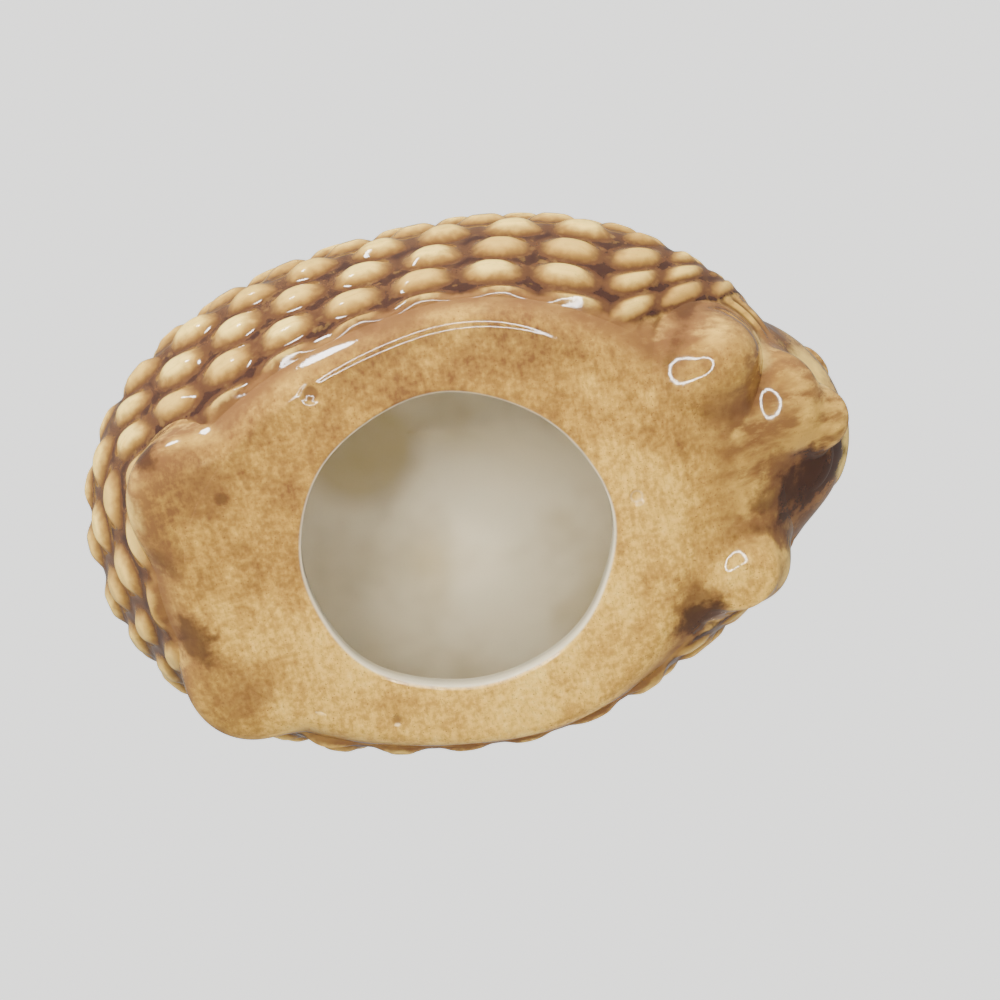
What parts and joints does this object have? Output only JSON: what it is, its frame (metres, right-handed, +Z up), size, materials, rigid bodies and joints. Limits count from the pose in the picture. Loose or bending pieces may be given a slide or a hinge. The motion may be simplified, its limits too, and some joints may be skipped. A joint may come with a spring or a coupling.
{
  "type": "quail figurine",
  "caption": "Hollow glazed ceramic quail ornament, huddled low on a flat oval foot with a round vent, its egg-shaped body covered in raised oval feather scales.",
  "frame": {"origin": "on the plane of the flat foot, under the middle of the whole figure's box", "axes": "+X to the head, +Y to the bird's left, +Z up from the foot to the back"},
  "size_m": [0.1475, 0.102, 0.0821],
  "materials": {
    "base_glaze": "gloss",
    "body_glaze": "gloss",
    "feather_glaze": "gloss",
    "head_glaze": "gloss",
    "foot_glaze": "gloss",
    "beak_glaze": "gloss",
    "eye_glaze": "gloss"
  },
  "bodies": {
    "root": {"base_plate": "base_glaze", "left_rear_lobe": "base_glaze", "right_rear_lobe": "base_glaze", "body_shell": "body_glaze", "feather_row_01": "feather_glaze", "feather_row_02": "feather_glaze", "feather_row_03": "feather_glaze", "feather_row_04": "feather_glaze", "feather_row_05": "feather_glaze", "feather_row_06": "feather_glaze", "feather_row_07": "feather_glaze", "feather_row_08": "feather_glaze", "feather_row_09": "feather_glaze", "feather_row_10": "feather_glaze", "feather_row_11": "feather_glaze", "feather_row_12": "feather_glaze", "crown_feather": "feather_glaze", "head": "head_glaze", "left_foot": "foot_glaze", "right_foot": "foot_glaze", "upper_beak": "beak_glaze", "lower_beak": "beak_glaze", "left_eye": "eye_glaze", "right_eye": "eye_glaze"}
  },
  "joints": []
}
